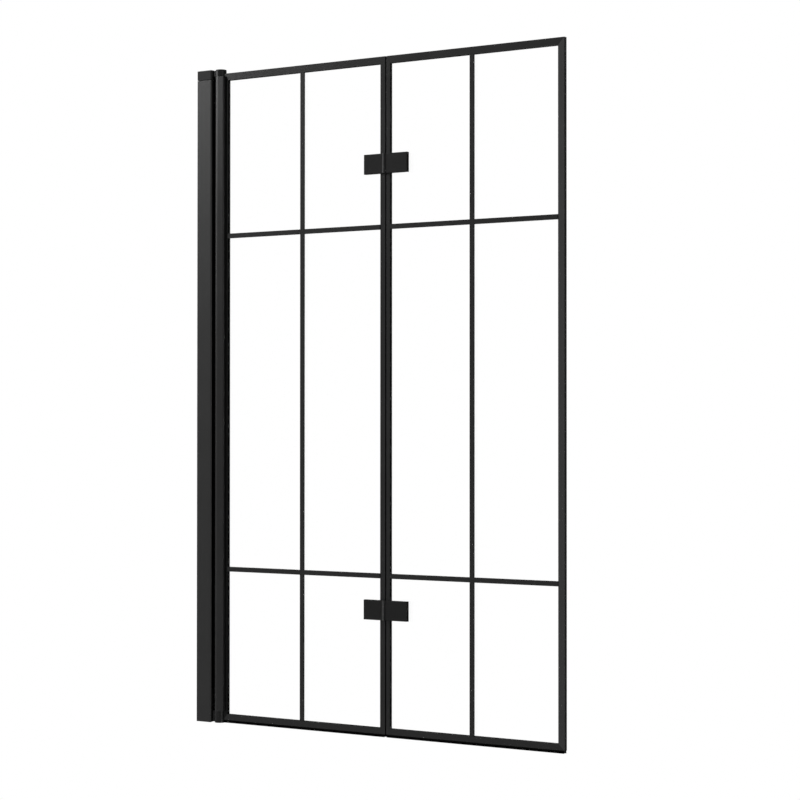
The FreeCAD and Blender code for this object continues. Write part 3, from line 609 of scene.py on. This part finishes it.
# %% Pivot seal, whose fin runs on over the feet of the brackets
TOUCH = 0.05
SEAL_ROUNDING = 0.2
low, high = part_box("pivot_seal")
foot_low, foot_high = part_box("bottom_pivot_bracket")[1].z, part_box("top_pivot_bracket")[0].z
web = (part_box("wall_channel")[1].x - low.x) / MM + TOUCH
reach = (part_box("pivot_profile")[0].x - low.x) / MM - TOUCH
wing = high.y / MM
base = [
    (0, -wing), (1.2, -wing), (1.6, -wing * 0.6), (1.6, -1.3), (web, -1.0),
    (web, 1.0), (1.6, 1.3), (1.6, wing * 0.6), (1.2, wing), (0, wing),
]
fin = [
    (web, -1.0), (reach - 1.9, -0.8), (reach - 1.4, -1.3), (reach, -0.9),
    (reach, 0.9), (reach - 1.4, 1.3), (reach - 1.9, 0.8), (web, 1.0),
]
shape = bmesh.new()
between = Vector((0, 0, foot_high - foot_low))
strip(shape, base, lambda u, v: Vector((low.x + u, v, foot_low)), between, SEAL_ROUNDING)
whole = Vector((0, 0, high.z - low.z))
strip(shape, fin, lambda u, v: Vector((low.x + u, v, low.z)), whole, SEAL_ROUNDING)
soft_piece("pivot_seal_strip", shape, finishes["seal_rubber"], "wall_frame", "pivot_seal")

# %% Meeting seal
low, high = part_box("meeting_seal")
reach = (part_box("outer_meeting_stile")[0].x - low.x) / MM - TOUCH
wing = high.y / MM
profile = [
    (0, -wing), (0.8, -wing), (1.0, -wing + 0.8), (1.0, -1.2), (reach - 0.3, -1.0), (reach, -0.4),
    (reach, 0.4), (reach - 0.3, 1.0), (1.0, 1.2), (1.0, wing - 0.8), (0.8, wing), (0, wing),
]
shape = bmesh.new()
whole = Vector((0, 0, high.z - low.z))
strip(shape, profile, lambda u, v: Vector((low.x + u, v, low.z)), whole, SEAL_ROUNDING)
soft_piece("meeting_seal_strip", shape, finishes["seal_rubber"], "inner_panel", "meeting_seal")

# %% [markdown]
# ## Glazing gaskets
# Each pane sits in a U-shaped rubber ring, pressed into the frame's groove, and only its two lips show.
# It could be four mitred strips, but a ring with one turned section has no joints in its corners.
# So one rectangle of edges is drawn round the section, loop by loop, until it meets itself.

# %% Draw a section round a pane
WELD = 0.01 * MM


def rectangle(low, high, y):
    """The four corners of an upright rectangle."""
    outline = ((low.x, low.z), (high.x, low.z), (high.x, high.z), (low.x, high.z))
    return [Vector((x, y, z)) for x, z in outline]


def ring(shape, loops):
    """Draw four edges from rectangle to rectangle, and close the ring."""
    corners = [shape.verts.new(point) for point in loops[0]]
    edges = [shape.edges.new((corners[i - 1], corners[i])) for i in range(4)]
    for loop in loops[1:] + loops[:1]:
        drawn = bmesh.ops.extrude_edge_only(shape, edges=edges)["geom"]
        edges = [part for part in drawn if isinstance(part, bmesh.types.BMEdge)]
        for corner in (part for part in drawn if isinstance(part, bmesh.types.BMVert)):
            corner.co = min(loop, key=lambda point: (point - corner.co).length)
    bmesh.ops.remove_doubles(shape, verts=shape.verts, dist=WELD)


print("rings are welded where corners meet within", round(WELD / MM, 2), "mm")

# %% Both gaskets
SETBACK = Vector((0.5, 0.0, 0.5)) * MM
EASE = Vector((0.05, 0.0, 0.05)) * MM
LIP_GAP = 0.05 * MM
LIP_ROUNDING = 0.15 * MM
LEVEL = 0.1 * MM


def lip_edges(shape, left, right):
    """The edges along both lips, at the rim that leaves the pane clear."""
    at_rim = {v for v in shape.verts if min(abs(v.co.x - left), abs(v.co.x - right)) < MM}
    rim_edges = [e for e in shape.edges if all(v in at_rim for v in e.verts)]
    return [e for e in rim_edges if abs(e.verts[0].co.y - e.verts[1].co.y) < LEVEL]


for side in stiles:
    low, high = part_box(f"{side}_glazing_gasket")
    pane_low, pane_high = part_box(f"{side}_glass")
    pane_low, pane_high = pane_low - EASE, pane_high + EASE
    clear_low = Vector((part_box(stiles[side][0])[1].x, 0.0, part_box(f"{side}_bottom_rail")[1].z)) - SETBACK
    clear_high = Vector((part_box(stiles[side][1])[0].x, 0.0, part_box(f"{side}_top_rail")[0].z)) + SETBACK
    lip = pane_high.y + LIP_GAP
    shape = bmesh.new()
    ring(shape, [
        rectangle(low, high, -high.y), rectangle(low, high, high.y),
        rectangle(clear_low, clear_high, high.y), rectangle(clear_low, clear_high, lip),
        rectangle(pane_low, pane_high, lip), rectangle(pane_low, pane_high, -lip),
        rectangle(clear_low, clear_high, -lip), rectangle(clear_low, clear_high, -high.y),
    ])
    bmesh.ops.bevel(
        shape, geom=lip_edges(shape, clear_low.x, clear_high.x), offset=LIP_ROUNDING, affect="EDGES",
        segments=2, profile=0.5, material=-1,
    )
    rubber = finishes["seal_rubber"]
    soft_piece(f"{side}_gasket_ring", shape, rubber, f"{side}_panel", f"{side}_glazing_gasket")

# %% [markdown]
# ## Hinge pads
# Thin rubber pads keep the hinge leaves and their back plates off the glass, with a hole for each screw.
# A Boolean could cut the holes, but a circle of edges drawn out to the pad's outline makes cleaner faces.
# So each pad is two flat sheets, one round each hole, which are welded and then given their thickness.

# %% A flat sheet round one hole
HOLE_RADIUS = 2.7 * MM
PARALLEL = 1e-6


def pad_with_hole(shape, hole, low, high):
    """A flat sheet round one hole, drawn out from the hole's edge to a rectangle."""
    flat = Matrix.Translation(hole) @ Matrix.Rotation(math.radians(90), 4, "X")
    circle = bmesh.ops.create_circle(shape, cap_ends=False, segments=32, radius=HOLE_RADIUS, matrix=flat)
    edges = list({e for v in circle["verts"] for e in v.link_edges})
    drawn = bmesh.ops.extrude_edge_only(shape, edges=edges)["geom"]
    rim = [part for part in drawn if isinstance(part, bmesh.types.BMVert)]
    for vert in rim:
        aim = (vert.co - hole).normalized()
        reaches = []
        for axis in (0, 2):
            border = high if aim[axis] > 0 else low
            if abs(aim[axis]) > PARALLEL:
                reaches.append((border[axis] - hole[axis]) / aim[axis])
        vert.co = hole + aim * min(reaches)
    for corner in rectangle(low, high, hole.y):
        min(rim, key=lambda vert: (vert.co - corner).length).co = corner


print("pad holes are", round(2 * HOLE_RADIUS / MM, 1), "mm wide")

# %% Pads either side of the glass
SCREW_SPACING = 18.0 * MM
for side in stiles:
    low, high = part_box(f"{side}_hinge_pads")
    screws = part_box(f"{side}_hinge_screws")
    screw_line = (screws[0].x + screws[1].x) / 2
    thick = high.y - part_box(f"{side}_glass")[1].y
    shape = bmesh.new()
    for hinge in ("upper", "lower"):
        leaf_low, leaf_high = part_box(f"{hinge}_hinge_{side}_leaf")
        centre = (leaf_low.z + leaf_high.z) / 2
        tall = high.z - centre if hinge == "upper" else centre - low.z
        for rear in (low.y + thick, high.y):
            for step in (-1, 1):
                hole = Vector((screw_line, rear, centre + step * SCREW_SPACING / 2))
                bottom, top = sorted((centre, centre + step * tall))
                pad_with_hole(shape, hole, Vector((low.x, rear, bottom)), Vector((high.x, rear, top)))
    bmesh.ops.remove_doubles(shape, verts=shape.verts, dist=WELD)
    bmesh.ops.recalc_face_normals(shape, faces=shape.faces)
    drawn = bmesh.ops.extrude_face_region(shape, geom=list(shape.faces))["geom"]
    front = [part for part in drawn if isinstance(part, bmesh.types.BMVert)]
    bmesh.ops.translate(shape, vec=(0.0, -thick, 0.0), verts=front)
    rubber = finishes["seal_rubber"]
    soft_piece(f"{side}_hinge_pad_set", shape, rubber, f"{side}_panel", f"{side}_hinge_pads")
